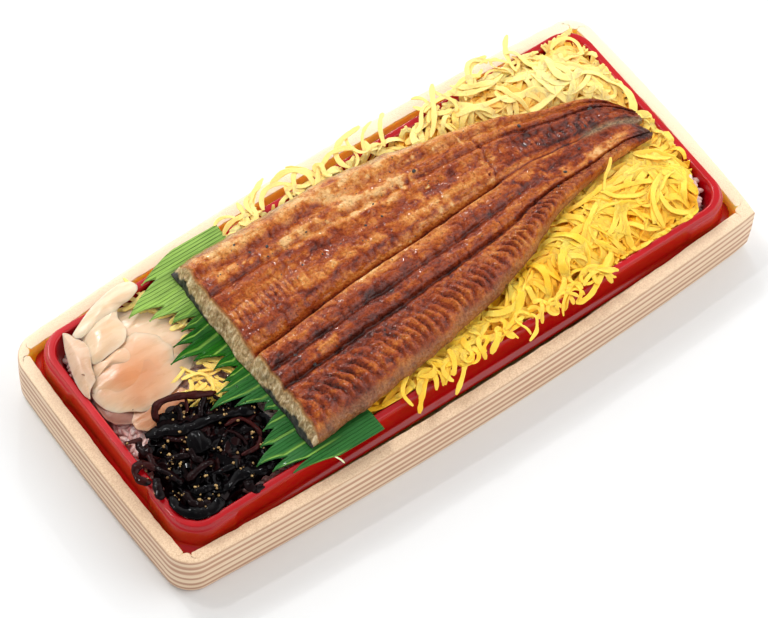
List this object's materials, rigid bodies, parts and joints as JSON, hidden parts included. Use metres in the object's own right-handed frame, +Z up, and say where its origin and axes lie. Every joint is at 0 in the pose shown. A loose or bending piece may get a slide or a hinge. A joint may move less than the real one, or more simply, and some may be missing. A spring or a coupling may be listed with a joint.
{
  "type": "grilled eel on rice",
  "caption": "Boxed meal: an opened grilled eel on shredded egg and rice in a red tray inside a shallow frame, with a cut leaf, pickled ginger and simmered kelp.",
  "frame": {"origin": "centre of the box's underside, on the table", "axes": "+X along the box's length, from the garnish end to the tail of the eel; +Y across the box, away from the viewer of the picture; +Z up"},
  "size_m": [0.2528, 0.115, 0.0407],
  "materials": {
    "frame_foam": "pale wood-grain film, cut foam edge",
    "tray_plastic": "glossy red",
    "rice_cooked": "moist cooked rice",
    "egg_yellow": "thin cooked egg, moist",
    "eel_grilled": "grilled and glazed",
    "leaf_green": "waxy leaf, wet in places",
    "ginger_pickled": "thin translucent pickled slices",
    "kelp_black": "glossy, soaked in soy sauce"
  },
  "bodies": {
    "root": {"box": "frame_foam", "tray": "tray_plastic", "rice": "rice_cooked", "egg_shreds": "egg_yellow", "eel": "eel_grilled", "leaf": "leaf_green", "ginger_low_left": "ginger_pickled", "ginger_low_right": "ginger_pickled", "ginger_back": "ginger_pickled", "ginger_front": "ginger_pickled", "ginger_curl": "ginger_pickled", "ginger_oval": "ginger_pickled", "ginger_top": "ginger_pickled", "ginger_left": "ginger_pickled", "kelp": "kelp_black"}
  },
  "joints": []
}
